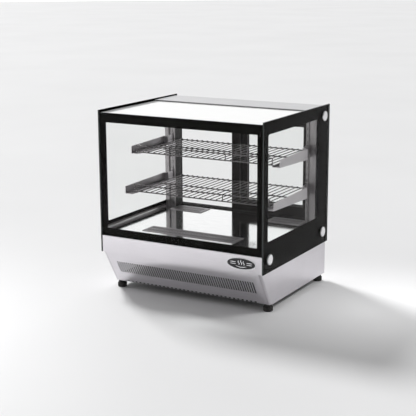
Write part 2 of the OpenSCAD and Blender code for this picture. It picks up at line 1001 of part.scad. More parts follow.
// Tubular element: two long bends in front of the fan
module heating_element() {
    r = 4;
    span = 150;
    bend = 18;
    heights = [for (i = [0:3]) fan_z + (2 * i - 3) * bend];
    color("sienna")
        translate([0, -60, 0]) {
            for (z = heights)
                wire_x(-span, span, 0, z, r);
            for (i = [0:2])
                translate([i % 2 == 0 ? span : -span, 0, heights[i] + bend])
                    rotate([90, 0, 0])
                        rotate([0, 0, i % 2 == 0 ? -90 : 90])
                            rotate_extrude(angle = 180)
                                translate([bend, 0])
                                    circle(r = r);
            for (x = [-90, 90])
                block([x - 1, -6, duct_z[0] + 1.2], [x + 1, 6, heights[3] + 6]);
        }
}

// Bulb of the temperature sensor, in a clip on the duct wall
module temperature_probe() {
    color("silver") {
        wire_x(-120, -60, duct_y[0] + 12, 205, 3);
        block([-100, duct_y[0] + 1.2, 201], [-92, duct_y[0] + 12, 209]);
    }
}

// Controls ----------------------------------------------------------------------------------

// Closed steel box behind the controls
module control_box() {
    color("gray")
        difference() {
            block([-10, 228, 60], [215, service_y - fit, 108]);
            block([-8.5, 229.5, 61.5], [213.5, service_y - sheet - fit, 106.5]);
        }
}

button_pitch = 13;
button_size = [8, 5];
button_travel = 1;

function button_x(i) = controller_at[0] - 24 + i * button_pitch;

// Digital thermostat: body in the cut-out and a bezel with holes for its buttons
module controller() {
    x = controller_at[0];
    z = controller_at[1];
    color("black")
        difference() {
            union() {
                block([x - 35.5, service_y - 50, z - 14], [x + 35.5, service_face, z + 14]);
                block([x - 39, service_face, z - 18], [x + 39, service_face + 6, z + 18]);
            }
            block([x - 28, service_face + 5, z - 3], [x + 28, service_face + 7, z + 13]);
            for (i = [0:2])
                translate([button_x(i), 0, z - 10.5])
                    block([-button_size[0] / 2 - 0.2, service_face + 1, -button_size[1] / 2 - 0.2],
                          [button_size[0] / 2 + 0.2, service_face + 7, button_size[1] / 2 + 0.2]);
        }
}

module button(i) {
    color("gray")
        translate([button_x(i), 0, controller_at[1] - 10.5])
            block([-button_size[0] / 2, service_face + 1 + button_travel + 0.2, -button_size[1] / 2],
                  [button_size[0] / 2, service_face + 7.5, button_size[1] / 2]);
}

module button_set() {
    button(0);
}

module button_up() {
    button(1);
}

module button_down() {
    button(2);
}

rocker_pin_r = 1.5;
rocker_w = 14;
rocker_pin_y = service_face - 1;

// Snap-in switch bodies with the pivot pins of their rockers
module switch_housings() {
    color("black")
        for (s = switches_at)
            translate([s[0], 0, s[1]]) {
                difference() {
                    union() {
                        block([-10.7, service_y - 22, -14.7], [10.7, service_face, 14.7]);
                        block([-13, service_face, -17], [13, service_face + 2, 17]);
                    }
                    block([-rocker_w / 2 - 0.4, service_y - 12, -13],
                          [rocker_w / 2 + 0.4, service_face + 3, 13]);
                }
                wire_x(-rocker_w / 2 - 1, rocker_w / 2 + 1, rocker_pin_y, 0, rocker_pin_r);
            }
}

// Rocker tipped to its on side; it turns about the pin
rocker_tip = 12;

module rocker(s) {
    color("black")
        translate([s[0], rocker_pin_y, s[1]])
            rotate([rocker_tip, 0, 0])
                across_x(-rocker_w / 2, rocker_w / 2)
                    difference() {
                        polygon([[5.5, -11.5], [3.5, 0], [5.5, 11.5], [-1, 10.5],
                                 [-5, 4], [-5, -4], [-1, -10.5]]);
                        circle(r = rocker_pin_r + 0.05);
                    }
}

module power_rocker() {
    rocker(switches_at[0]);
}

module light_rocker() {
    rocker(switches_at[1]);
}

// Gland of the mains lead: a threaded body through the panel, a nut inside, a dome outside
module cable_gland() {
    color("black")
        translate([gland_at[0], service_face, gland_at[1]])
            rotate([-90, 0, 0])
                difference() {
                    union() {
                        translate([0, 0, -11])
                            cylinder(h = 12, r = 8);
                        translate([0, 0, -sheet - 5])
                            cylinder(h = 5, r = 12, $fn = 6);
                        cylinder(h = 4, r = 12, $fn = 6);
                        translate([0, 0, 3.5])
                            cylinder(h = 8.5, r1 = 10.5, r2 = 7);
                    }
                    translate([0, 0, -12])
                        cylinder(h = 26, r = 4);
                }
}

// Assembly ----------------------------------------------------------------------------------

base_pan();
front_fascia();
base_side_left();
base_side_right();
base_rear_panel();
deck();
vent_covers();
side_glass_left();
side_glass_right();
side_border_left();
side_border_right();
front_glass();
front_border();
top_glass();
top_rear_panel();
top_gasket();
front_corner_posts();
top_side_rails();
front_top_rail();
top_cross_rail();
rear_post_left();
rear_post_right();
rear_header();
door_track_bottom();
door_track_top();
pilaster_left();
pilaster_right();
upper_brackets();
lower_brackets();
shelf_upper();
shelf_lower();
door_left_frame();
door_left_glass();
door_left_pull();
door_left_glides();
door_right_frame();
door_right_glass();
door_right_pull();
door_right_glides();
glass_caps();
glass_cap_studs();
feet();
foot_studs();
lamp_housing();
led_tube();
badge();
heating_element();
fan_frame();
fan_rotor();
hot_air_duct();
control_box();
controller();
button_set();
button_up();
button_down();
switch_housings();
power_rocker();
light_rocker();
cable_gland();
temperature_probe();
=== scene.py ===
"""Looks of the countertop hot food display case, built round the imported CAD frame.

Lengths are in metres, in the frame of the CAD: the counter is Z = 0, the sliding doors are at
the rear (+Y), and the customer's right is +X. CAD nodes keep their shapes and get procedural
materials and softened edges; small fittings that the CAD leaves out are added as pieces.
"""
import math

import bmesh
import bpy
from mathutils import Matrix, Vector


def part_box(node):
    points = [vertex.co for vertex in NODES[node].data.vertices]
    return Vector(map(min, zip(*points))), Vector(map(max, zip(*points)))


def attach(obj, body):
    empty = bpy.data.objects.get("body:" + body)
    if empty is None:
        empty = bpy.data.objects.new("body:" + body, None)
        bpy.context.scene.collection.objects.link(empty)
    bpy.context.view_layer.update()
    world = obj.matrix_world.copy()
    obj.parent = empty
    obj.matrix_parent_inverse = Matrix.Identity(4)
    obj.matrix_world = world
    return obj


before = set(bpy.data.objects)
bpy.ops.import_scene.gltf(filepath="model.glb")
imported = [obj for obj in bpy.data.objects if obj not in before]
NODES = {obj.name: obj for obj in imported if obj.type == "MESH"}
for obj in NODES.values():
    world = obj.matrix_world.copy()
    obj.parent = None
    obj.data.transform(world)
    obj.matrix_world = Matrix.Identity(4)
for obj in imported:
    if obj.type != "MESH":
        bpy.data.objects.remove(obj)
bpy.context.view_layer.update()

MM = 0.001


# Node graphs ---------------------------------------------------------------------------------

class Look:
    """A material with one Principled shader, and short calls for the nodes that drive it."""

    def __init__(self, name, **plain):
        self.material = bpy.data.materials.new(name)
        self.material.use_nodes = True
        self.tree = self.material.node_tree
        self.shader = self.tree.nodes["Principled BSDF"]
        self.output = self.tree.nodes["Material Output"]
        for socket, value in plain.items():
            self.shader.inputs[socket.replace("_", " ")].default_value = value

    def node(self, kind, **settings):
        made = self.tree.nodes.new("ShaderNode" + kind)
        for key, value in settings.items():
            setattr(made, key, value)
        return made

    def wire(self, source, target):
        self.tree.links.new(source, target)

    def place(self, scale):
        """Object coordinates, stretched by scale."""
        mapping = self.node("Mapping")
        mapping.inputs["Scale"].default_value = scale
        self.wire(self.node("TexCoord").outputs["Object"], mapping.inputs["Vector"])
        return mapping.outputs["Vector"]

    def noise(self, scale, detail=3.0, rough=0.5, stretch=(1, 1, 1)):
        made = self.node("TexNoise")
        made.inputs["Scale"].default_value = scale
        made.inputs["Detail"].default_value = detail
        made.inputs["Roughness"].default_value = rough
        self.wire(self.place(stretch), made.inputs["Vector"])
        return made.outputs["Fac"]

    def cells(self, scale):
        made = self.node("TexVoronoi")
        made.inputs["Scale"].default_value = scale
        self.wire(self.place((1, 1, 1)), made.inputs["Vector"])
        return made

    def spread(self, value, low, high, source=(0.3, 0.7)):
        """Value, mapped from the source range to low..high."""
        made = self.node("MapRange")
        for key, number in zip(("From Min", "From Max", "To Min", "To Max"), (*source, low, high)):
            made.inputs[key].default_value = number
        self.wire(value, made.inputs["Value"])
        return made.outputs["Result"]

    def math(self, operation, a, b):
        made = self.node("Math", operation=operation)
        for value, socket in ((a, made.inputs[0]), (b, made.inputs[1])):
            if isinstance(value, (int, float)):
                socket.default_value = value
            else:
                self.wire(value, socket)
        return made.outputs["Value"]

    def blend(self, factor, a, b):
        """Colour a where factor is 0 and b where it is 1."""
        made = self.node("Mix", data_type="RGBA")
        for value, key in ((factor, 0), (a, 6), (b, 7)):
            if isinstance(value, bpy.types.NodeSocket):
                self.wire(value, made.inputs[key])
            else:
                made.inputs[key].default_value = (*value, 1.0) if key else value
        return made.outputs[2]

    def colour(self, socket):
        self.wire(socket, self.shader.inputs["Base Color"])

    def roughness(self, socket):
        self.wire(socket, self.shader.inputs["Roughness"])

    def bump(self, height, distance, strength=1.0):
        made = self.node("Bump")
        made.inputs["Distance"].default_value = distance
        made.inputs["Strength"].default_value = strength
        self.wire(height, made.inputs["Height"])
        self.wire(made.outputs["Normal"], self.shader.inputs["Normal"])


def shade(colour, factor):
    return tuple(c * factor for c in colour)


# Materials -----------------------------------------------------------------------------------

def brushed_metal(name, colour, grain, rough=0.3, contrast=0.06):
    """Rolled sheet with fine lines along the grain axis, and faint hand marks."""
    look = Look(name, Metallic=1.0)
    stretch = tuple(0.012 if axis == grain else 1.0 for axis in "XYZ")
    lines = look.noise(900, 4, 0.75, stretch)
    bands = look.noise(70, 3, 0.6, stretch)
    marks = look.noise(7, 4, 0.6)
    fine = look.blend(look.spread(lines, 0, 1, (0.25, 0.75)),
                      shade(colour, 1 - contrast), shade(colour, 1 + contrast))
    broad = look.spread(bands, 0, 0.5)
    toned = look.blend(broad, fine, shade(colour, 1 + contrast))
    look.colour(look.blend(look.spread(marks, 0, 0.35), toned, shade(colour, 0.93)))
    look.roughness(look.math("ADD", look.spread(lines, rough - 0.04, rough + 0.05),
                             look.spread(marks, 0, 0.06)))
    look.bump(lines, 0.02 * MM)
    return look.material


def mirror_steel():
    """Polished deck: nearly a mirror, with a haze of wiping marks."""
    look = Look("deck_polished_steel", Metallic=1.0)
    wipes = look.noise(16, 5, 0.65, (1, 4, 1))
    scratches = look.noise(420, 3, 0.7, (0.03, 1, 1))
    look.colour(look.blend(look.spread(wipes, 0, 1), (0.80, 0.80, 0.81), (0.88, 0.88, 0.885)))
    look.roughness(look.math("ADD", look.spread(wipes, 0.05, 0.11), look.spread(scratches, 0, 0.03)))
    look.bump(scratches, 0.004 * MM)
    return look.material


def coated_metal(name, colour, rough=0.42, grain_size=700, depth=0.008 * MM):
    """Powder coat: orange peel, and dust that lightens it in patches."""
    look = Look(name, Specular_IOR_Level=0.25)
    peel = look.noise(grain_size, 2, 0.5)
    dust = look.noise(11, 5, 0.65)
    look.colour(look.blend(look.spread(dust, 0, 0.5, (0.35, 0.8)), colour,
                           tuple(c * 1.5 + 0.012 for c in colour)))
    look.roughness(look.math("ADD", look.spread(peel, rough - 0.05, rough + 0.05),
                             look.spread(dust, 0, 0.08)))
    look.bump(peel, depth)
    return look.material


def moulded_plastic(name, colour, rough=0.38, depth=0.03 * MM):
    """Spark-eroded mould texture with a slight bloom."""
    look = Look(name)
    spark = look.cells(1500)
    bloom = look.noise(35, 4, 0.6)
    look.colour(look.blend(look.spread(bloom, 0, 0.6), colour, tuple(c * 1.25 + 0.01 for c in colour)))
    look.roughness(look.spread(bloom, rough - 0.06, rough + 0.08))
    look.bump(spark.outputs["Distance"], depth, 0.6)
    return look.material


def rubber(name, colour):
    """Matt rubber with dusty patches."""
    look = Look(name, Specular_IOR_Level=0.3)
    dust = look.noise(60, 5, 0.7)
    grit = look.noise(1800, 2, 0.6)
    look.colour(look.blend(look.spread(dust, 0, 0.8, (0.4, 0.8)), colour, (0.075, 0.072, 0.068)))
    look.roughness(look.spread(dust, 0.62, 0.85))
    look.bump(grit, 0.06 * MM)
    return look.material


def plated_metal(name, colour, rough=0.2):
    """Bright plating over drawn wire or turned steel."""
    look = Look(name, Metallic=1.0)
    tone = look.noise(45, 4, 0.6)
    skin = look.noise(700, 3, 0.6)
    look.colour(look.blend(look.spread(tone, 0, 1), shade(colour, 0.82), shade(colour, 1.05)))
    look.roughness(look.math("ADD", look.spread(skin, rough - 0.05, rough + 0.06),
                             look.spread(tone, 0, 0.05)))
    look.bump(skin, 0.008 * MM)
    return look.material


def galvanised_metal(name, colour):
    """Zinc spangle: flat crystals of slightly different greys."""
    look = Look(name, Metallic=1.0)
    crystals = look.cells(95)
    grey = look.node("RGBToBW")
    look.wire(crystals.outputs["Color"], grey.inputs["Color"])
    look.colour(look.blend(grey.outputs["Val"], shade(colour, 0.8), shade(colour, 1.1)))
    look.roughness(look.spread(grey.outputs["Val"], 0.34, 0.56, (0.0, 1.0)))
    look.bump(look.noise(500, 2, 0.5), 0.02 * MM)
    return look.material


def heat_tinted_steel(name):
    """Element sheath: straw, brown and blue oxide in bands along it."""
    look = Look(name, Metallic=0.85)
    bands = look.noise(18, 4, 0.6, (1, 1, 2))
    scale = look.noise(900, 3, 0.7)
    straw = look.blend(look.spread(bands, 0, 1, (0.35, 0.5)), (0.20, 0.15, 0.10), (0.33, 0.27, 0.20))
    look.colour(look.blend(look.spread(bands, 0, 1, (0.5, 0.65)), straw, (0.17, 0.17, 0.22)))
    look.roughness(look.spread(scale, 0.35, 0.6))
    look.bump(scale, 0.03 * MM)
    return look.material


def clear_glass():
    """Pane with a mirror layer that grows towards grazing angles, and a trace of wiping haze."""
    look = Look("clear_glass")
    pane = look.node("BsdfTransparent")
    pane.inputs["Color"].default_value = (0.985, 0.988, 0.986, 1)
    sheen = look.node("BsdfGlossy")
    sheen.inputs["Roughness"].default_value = 0.015
    sheen.inputs["Color"].default_value = (1, 1, 1, 1)
    facing = look.node("LayerWeight")
    facing.inputs["Blend"].default_value = 0.5
    fresnel = look.math("POWER", facing.outputs["Facing"], 5.0)
    mirror = look.node("MixShader")
    look.wire(look.spread(fresnel, 0.003, 0.13, (0.0, 1.0)), mirror.inputs["Fac"])
    look.wire(pane.outputs["BSDF"], mirror.inputs[1])
    look.wire(sheen.outputs["BSDF"], mirror.inputs[2])
    haze = look.node("BsdfDiffuse")
    haze.inputs["Color"].default_value = (0.8, 0.8, 0.8, 1)
    wiped = look.node("MixShader")
    look.wire(look.spread(look.noise(9, 5, 0.6, (1, 1, 2.5)), 0.0, 0.003), wiped.inputs["Fac"])
    look.wire(mirror.outputs["Shader"], wiped.inputs[1])
    look.wire(haze.outputs["BSDF"], wiped.inputs[2])
    look.wire(wiped.outputs["Shader"], look.output.inputs["Surface"])
    look.tree.nodes.remove(look.shader)
    return look.material


def glass_edge():
    """Ground and polished edge of a pane, where the light that runs inside it comes out."""
    look = Look("glass_edge", Specular_IOR_Level=0.6)
    depth = look.noise(30, 4, 0.6)
    ground = look.noise(1500, 2, 0.6)
    look.colour(look.blend(look.spread(depth, 0, 1), (0.016, 0.022, 0.020), (0.04, 0.05, 0.047)))
    look.roughness(look.spread(ground, 0.12, 0.24))
    look.bump(ground, 0.01 * MM)
    return look.material


def printed_black():
    """Ceramic frit seen through the pane: deep black with a soft gloss."""
    look = Look("black_glass_print", Specular_IOR_Level=0.0)
    wipes = look.noise(13, 5, 0.6)
    look.colour(look.blend(look.spread(wipes, 0, 1), (0.0026, 0.0022, 0.0018), (0.0042, 0.0036, 0.0031)))
    look.roughness(look.spread(wipes, 0.36, 0.39))
    return look.material


def white_backed_glass():
    """Top pane: white paint under a smooth glass face."""
    look = Look("white_backed_glass", Coat_Weight=1.0, Coat_Roughness=0.02, Specular_IOR_Level=0.15)
    paint = look.noise(12, 4, 0.55)
    look.colour(look.blend(look.spread(paint, 0, 1), (0.732, 0.737, 0.737), (0.75, 0.755, 0.75)))
    look.roughness(look.spread(paint, 0.32, 0.38))
    return look.material


def glowing_tube():
    """Frosted tube, softly lit."""
    look = Look("frosted_lamp_tube", Roughness=0.35, Emission_Strength=1.6)
    frost = look.noise(240, 3, 0.6)
    tint = look.blend(look.spread(frost, 0, 1), (0.93, 0.91, 0.86), (1.0, 0.985, 0.95))
    look.colour(tint)
    look.wire(tint, look.shader.inputs["Emission Color"])
    look.bump(frost, 0.02 * MM)
    return look.material


def glowing_digits():
    """Lit bars of a display, with a faint unevenness."""
    look = Look("red_display_digits", Roughness=0.4, Emission_Strength=3.0)
    uneven = look.noise(900, 2, 0.5)
    tint = look.blend(look.spread(uneven, 0, 1), (0.85, 0.03, 0.01), (1.0, 0.07, 0.03))
    look.colour(tint)
    look.wire(tint, look.shader.inputs["Emission Color"])
    return look.material


STEEL_X = brushed_metal("brushed_steel_across", (0.755, 0.732, 0.765), "X")
# Base sides: the fascia's stainless steel made darker, as painted shade
STEEL_Y_PAINTED_SHADE = brushed_metal("brushed_steel_along_painted_shade", (0.66, 0.64, 0.67), "Y")
# Pilasters: the same stainless steel made far darker, as painted shade inside the case
STEEL_Z_PAINTED_SHADE = brushed_metal("brushed_steel_upright_painted_shade", (0.33, 0.315, 0.32), "Z", 0.34)
DECK = mirror_steel()
DECK_EDGE = brushed_metal("deck_edge_steel", (0.13, 0.115, 0.118), "Y", 0.3)
# Top rear panel: the stainless steel made darker, as painted shade that tones down its reflection of the
# lights
ROOF_STEEL_PAINTED_SHADE = brushed_metal("roof_steel_painted_shade", (0.52, 0.52, 0.53), "X", 0.34)
VENT_STEEL = brushed_metal("vent_cover_steel", (0.30, 0.285, 0.295), "X", 0.42)
BRACKET_STEEL = brushed_metal("bracket_steel", (0.48, 0.46, 0.475), "Y", 0.34)
CLEAR = clear_glass()
GLASS_EDGE = glass_edge()
PRINT = printed_black()
WHITE_GLASS = white_backed_glass()
BLACK_COAT = coated_metal("black_powder_coat", (0.012, 0.0105, 0.0095))
BLACK_TRACK = brushed_metal("black_anodised_track", (0.035, 0.033, 0.032), "X", 0.38, 0.12)
DOOR_BLACK = brushed_metal("black_anodised_door", (0.026, 0.023, 0.022), "Z", 0.40, 0.12)
# Lighter grey for the faces lining the door windows: a painted highlight of the light they catch
DOOR_REVEAL_HIGHLIGHT = brushed_metal("painted_highlight_reveal", (0.46, 0.44, 0.44), "Z", 0.42, 0.08)
PULL_METAL = brushed_metal("satin_anodised_pull", (0.56, 0.56, 0.57), "Z", 0.32)
# Chrome made far darker than real plating: painted dark reflections on the shelf wires
CHROME_WIRE_DARK_REFLECTION = plated_metal("chromed_wire_painted_reflection", (0.17, 0.16, 0.163), 0.14)
CAP_METAL = brushed_metal("satin_cap", (0.80, 0.80, 0.81), "Z", 0.26, 0.04)
ZINC = plated_metal("bright_zinc", (0.62, 0.61, 0.58), 0.26)
RUBBER = rubber("black_rubber", (0.014, 0.0135, 0.013))
NYLON = moulded_plastic("black_nylon", (0.020, 0.019, 0.018), 0.5)
LAMP_WHITE = coated_metal("white_enamel", (0.80, 0.80, 0.79), 0.3)
TUBE = glowing_tube()
BADGE_BLACK = moulded_plastic("badge_black", (0.012, 0.012, 0.014), 0.18, 0.004 * MM)
BADGE_SILVER = plated_metal("badge_silver", (0.78, 0.78, 0.80), 0.2)
# Zinc made far darker than bare zinc: painted shade, so the inside of the base looks dark through the
# slots
GALVANISED_PAINTED_SHADE = galvanised_metal("galvanised_sheet_painted_shade", (0.13, 0.13, 0.133))
DUCT_METAL = coated_metal("heat_proof_black_duct", (0.018, 0.018, 0.018), 0.6)
HOT_STEEL = heat_tinted_steel("heat_tinted_steel")
FAN_METAL = coated_metal("black_cast_fan_frame", (0.022, 0.022, 0.024), 0.5, 500, 0.06 * MM)
FAN_PLASTIC = moulded_plastic("fan_plastic", (0.018, 0.018, 0.019), 0.45)
CONTROL_PLASTIC = moulded_plastic("control_plastic", (0.016, 0.016, 0.018), 0.34)
BUTTON_GREY = moulded_plastic("keypad_grey", (0.21, 0.22, 0.23), 0.55)
ROCKER_PLASTIC = moulded_plastic("rocker_plastic", (0.020, 0.020, 0.021), 0.22, 0.008 * MM)
GLAND_NYLON = moulded_plastic("gland_nylon", (0.022, 0.022, 0.024), 0.48)
WINDOW_BLACK = moulded_plastic("display_window_black", (0.010, 0.006, 0.006), 0.1, 0.001 * MM)
MARK_WHITE = coated_metal("printed_white", (0.75, 0.75, 0.73), 0.5)
DIGITS = glowing_digits()

NODE_MATERIAL = {
    "base_pan": GALVANISED_PAINTED_SHADE, "front_fascia": STEEL_X, "base_side_left": STEEL_Y_PAINTED_SHADE,
    "base_side_right": STEEL_Y_PAINTED_SHADE, "base_rear_panel": STEEL_X, "deck": DECK,
    "vent_covers": VENT_STEEL, "side_glass_left": CLEAR, "side_glass_right": CLEAR,
    "side_border_left": PRINT, "side_border_right": PRINT, "front_glass": CLEAR,
    "front_border": PRINT, "top_glass": WHITE_GLASS, "top_rear_panel": ROOF_STEEL_PAINTED_SHADE,
    "top_gasket": RUBBER, "front_corner_posts": BLACK_COAT, "top_side_rails": BLACK_COAT,
    "front_top_rail": BLACK_COAT, "top_cross_rail": BLACK_COAT, "rear_post_left": BLACK_COAT,
    "rear_post_right": BLACK_COAT, "rear_header": BLACK_COAT, "door_track_bottom": BLACK_TRACK,
    "door_track_top": BLACK_TRACK, "pilaster_left": STEEL_Z_PAINTED_SHADE, "pilaster_right": STEEL_Z_PAINTED_SHADE,
    "upper_brackets": BRACKET_STEEL, "lower_brackets": BRACKET_STEEL,
    "shelf_upper": CHROME_WIRE_DARK_REFLECTION, "shelf_lower": CHROME_WIRE_DARK_REFLECTION, "door_left_frame": DOOR_BLACK,
    "door_right_frame": DOOR_BLACK, "door_left_glass": CLEAR, "door_right_glass": CLEAR,
    "door_left_pull": PULL_METAL, "door_right_pull": PULL_METAL, "door_left_glides": NYLON,
    "door_right_glides": NYLON, "glass_caps": CAP_METAL, "glass_cap_studs": ZINC,
    "feet": RUBBER, "foot_studs": ZINC, "lamp_housing": LAMP_WHITE, "led_tube": TUBE,
    "badge": BADGE_BLACK, "heating_element": HOT_STEEL, "fan_frame": FAN_METAL,
    "fan_rotor": FAN_PLASTIC, "hot_air_duct": DUCT_METAL, "control_box": GALVANISED_PAINTED_SHADE,
    "controller": CONTROL_PLASTIC, "button_set": BUTTON_GREY, "button_up": BUTTON_GREY,
    "button_down": BUTTON_GREY, "switch_housings": CONTROL_PLASTIC,
    "power_rocker": ROCKER_PLASTIC, "light_rocker": ROCKER_PLASTIC,
    "cable_gland": GLAND_NYLON, "temperature_probe": HOT_STEEL,
}


# CAD nodes -----------------------------------------------------------------------------------

# Edges that turn by more than this are softened
SHARP_ANGLE = math.radians(35)
# Width of the softened edges of each node, in mm
EDGE_WIDTH = {
    "front_fascia": 0.3, "base_side_left": 0.3, "base_side_right": 0.3, "base_rear_panel": 0.3,
    "deck": 0.3, "top_rear_panel": 0.3, "vent_covers": 0.4, "front_glass": 0.6,
    "side_glass_left": 0.6, "side_glass_right": 0.6, "top_glass": 0.6, "top_gasket": 0.6,
    "front_corner_posts": 0.4, "top_side_rails": 0.4, "front_top_rail": 0.4, "top_cross_rail": 0.4,
    "rear_post_left": 0.4, "rear_post_right": 0.4, "rear_header": 0.4, "door_track_bottom": 0.3,
    "door_left_frame": 0.8, "door_right_frame": 0.8, "door_left_pull": 0.3, "door_right_pull": 0.3,
    "glass_caps": 0.5, "feet": 0.7, "upper_brackets": 0.35, "lower_brackets": 0.35,
    "controller": 0.8, "button_set": 0.4, "button_up": 0.4, "button_down": 0.4,
    "switch_housings": 0.5, "power_rocker": 0.4, "light_rocker": 0.4, "cable_gland": 0.4,
    "badge": 0.2,
}


def dress_nodes():
    """Gives every CAD node its material."""
    for name, material in NODE_MATERIAL.items():
        node = NODES[name]
        node.data.materials.clear()
        node.data.materials.append(material)
        node.data.polygons.foreach_set("material_index", [0] * len(node.data.polygons))


def soften(name, width):
    """Rounds the sharp edges of a CAD node by a modifier; its own mesh stays as packed."""
    node = NODES[name]
    mesh = node.data
    if mesh.has_custom_normals:
        mesh.attributes.remove(mesh.attributes["custom_normal"])
    mesh.shade_smooth()
    weld = node.modifiers.new("join_corners", "WELD")
    weld.merge_threshold = 0.002 * MM
    bevel = node.modifiers.new("soft_edges", "BEVEL")
    bevel.width = width
    bevel.segments = 2
    bevel.limit_method = "ANGLE"
    bevel.angle_limit = SHARP_ANGLE
    bevel.use_clamp_overlap = True
    node.modifiers.new("flat_faces", "WEIGHTED_NORMAL").weight = 100


def show_pane_edges(name, axis):
    """Gives the narrow faces of a pane, those that don't face along the axis, the edge material."""
    mesh = NODES[name].data
    mesh.materials.append(GLASS_EDGE)
    for face in mesh.polygons:
        if abs(face.normal[axis]) < 0.5:
            face.material_index = 1


dress_nodes()
for name, width in EDGE_WIDTH.items():
    soften(name, width * MM)
for pane, across in (("side_glass_left", 0), ("side_glass_right", 0), ("front_glass", 1),
                     ("door_left_glass", 1), ("door_right_glass", 1)):
    show_pane_edges(pane, across)


def paint_faces(name, material, chosen):
    """Gives the faces of a CAD node that chosen(face) picks another material."""
    mesh = NODES[name].data
    mesh.materials.append(material)
    for face in mesh.polygons:
        if chosen(face):
            face.material_index = len(mesh.materials) - 1


# Middle and half size of the badge, and the width of its rim
BADGE_AT = sum(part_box("badge"), Vector()) / 2
BADGE_HALF = (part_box("badge")[1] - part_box("badge")[0]) / 2
RIM = 3.2 * MM


def on_badge_rim(face):
    across = (face.center.x - BADGE_AT.x) / (BADGE_HALF.x - RIM)
    up = (face.center.z - BADGE_AT.z) / (BADGE_HALF.z - RIM)
    return math.hypot(across, up) > 1.0


def in_door_window(name):
    """Picks the faces that line the opening of a door's frame, for the painted highlight."""
    low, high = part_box(name)
    outer_skin = 2 * MM

    def chosen(face):
        inside = all(low[axis] + outer_skin < face.center[axis] < high[axis] - outer_skin
                     for axis in (0, 2))
        return inside and abs(face.normal.y) < 0.5
    return chosen


def is_upright(face):
    return abs(face.normal.z) < 0.02


paint_faces("deck", DECK_EDGE, is_upright)
paint_faces("badge", BADGE_SILVER, on_badge_rim)
# The faces lining each door window get the lighter grey, a painted highlight
for door in ("door_left_frame", "door_right_frame"):
    paint_faces(door, DOOR_REVEAL_HIGHLIGHT, in_door_window(door))


# Added pieces --------------------------------------------------------------------------------

def piece(name, shape, material, body):
    """Turns a bmesh into an object that rides on a body."""
    bmesh.ops.recalc_face_normals(shape, faces=shape.faces)
    mesh = bpy.data.meshes.new(name)
    shape.to_mesh(mesh)
    shape.free()
    mesh.materials.append(material)
    made = bpy.data.objects.new(name, mesh)
    bpy.context.scene.collection.objects.link(made)
    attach(made, body)


def loft(shape, rings, closed=True):
    """Skins a list of equally long rings of points; the ends get caps if the loft isn't closed."""
    rows = [[shape.verts.new(p) for p in ring] for ring in rings]
    count = len(rows[0])
    pairs = list(zip(rows, rows[1:] + rows[:1])) if closed else list(zip(rows, rows[1:]))
    for one, other in pairs:
        for i in range(count):
            j = (i + 1) % count
            shape.faces.new((one[i], one[j], other[j], other[i]))
    if not closed:
        shape.faces.new(rows[0])
        shape.faces.new(rows[-1])


def prism(shape, outline, y0, y1, chamfer):
    """Extrudes an outline of (x, z) points from y0 to y1, with a chamfer round its y1 face."""
    middle = [sum(p[i] for p in outline) / len(outline) for i in (0, 1)]
    size = max(math.dist(p, middle) for p in outline)
    inset = [(middle[0] + (p[0] - middle[0]) * (1 - chamfer / size),
              middle[1] + (p[1] - middle[1]) * (1 - chamfer / size)) for p in outline]
    step = chamfer if y1 > y0 else -chamfer
    loft(shape, [[(x, y0, z) for x, z in outline], [(x, y1 - step, z) for x, z in outline],
                 [(x, y1, z) for x, z in inset]], closed=False)


def ribbon(shape, path, width, y0, y1):
    """Raised strip with sloped sides along a path of (x, z) points, narrower towards its ends."""
    end_width, widening, top_width = 0.35, 2.6, 0.6
    rings = []
    for i, (x, z) in enumerate(path):
        before, after = path[max(i - 1, 0)], path[min(i + 1, len(path) - 1)]
        along = Vector((after[0] - before[0], after[1] - before[1])).normalized()
        from_end = min(i, len(path) - 1 - i) / len(path)
        side = Vector((along.y, -along.x)) * width / 2 * min(1.0, end_width + widening * from_end)
        top = side * top_width
        rings.append([(x + side.x, y0, z + side.y), (x + top.x, y1, z + top.y),
                      (x - top.x, y1, z - top.y), (x - side.x, y0, z - side.y)])
    loft(shape, rings, closed=False)


def badge_motif():
    """Three wisps of steam over a dish, between two pairs of rules, raised on the plain badge."""
    plate_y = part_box("badge")[0].y + 0.5 * MM
    root_y, top_y = plate_y + 0.1 * MM, plate_y - 0.35 * MM
    steps = 16
    shape = bmesh.new()

    def strip(width, points):
        """Strip of a width in mm along points in mm from the middle of the badge."""
        ribbon(shape, [(BADGE_AT.x + x * MM, BADGE_AT.z + z * MM) for x, z in points],
               width * MM, root_y, top_y)

    for place in (-1, 0, 1):
        height = 19 - 4 * abs(place)
        strip(4.4, [(10 * place + 2.2 * math.sin(t * math.tau / steps), -5 + height * t / steps)
                    for t in range(steps + 1)])
    for side in (-1, 1):
        for rise in (-2.5, 4.5):
            strip(3.4, [(side * (21 + 3 * t), rise) for t in range(9)])
    strip(3.4, [(-22 + 44 * t / steps, -9.5 - 3.5 * math.sin(t * math.pi / steps))
                for t in range(steps + 1)])
    piece("badge_motif", shape, BADGE_SILVER, "cabinet")


def glazing_gasket(door, body):
    """Rubber bead in the corner between a door's frame and its pane, all round, on both faces."""
    pane_low, pane_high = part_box(door + "_glass")
    overlap = 5.5 * MM
    # Section in mm: across the pane, and out from it
    section = [(0, 0.05), (3.0, 0.05), (2.6, 1.0), (1.6, 1.7), (0, 2.1)]
    shape = bmesh.new()
    for face_y, out in ((pane_low.y, -1), (pane_high.y, 1)):
        corners = [(pane_low.x + overlap, pane_low.z + overlap, 1, 1),
                   (pane_high.x - overlap, pane_low.z + overlap, -1, 1),
                   (pane_high.x - overlap, pane_high.z - overlap, -1, -1),
                   (pane_low.x + overlap, pane_high.z - overlap, 1, -1)]
        loft(shape, [[(x + inward_x * u * MM, face_y + out * v * MM, z + inward_z * u * MM)
                      for u, v in section] for x, z, inward_x, inward_z in corners])
    piece(door + "_gasket", shape, RUBBER, body)


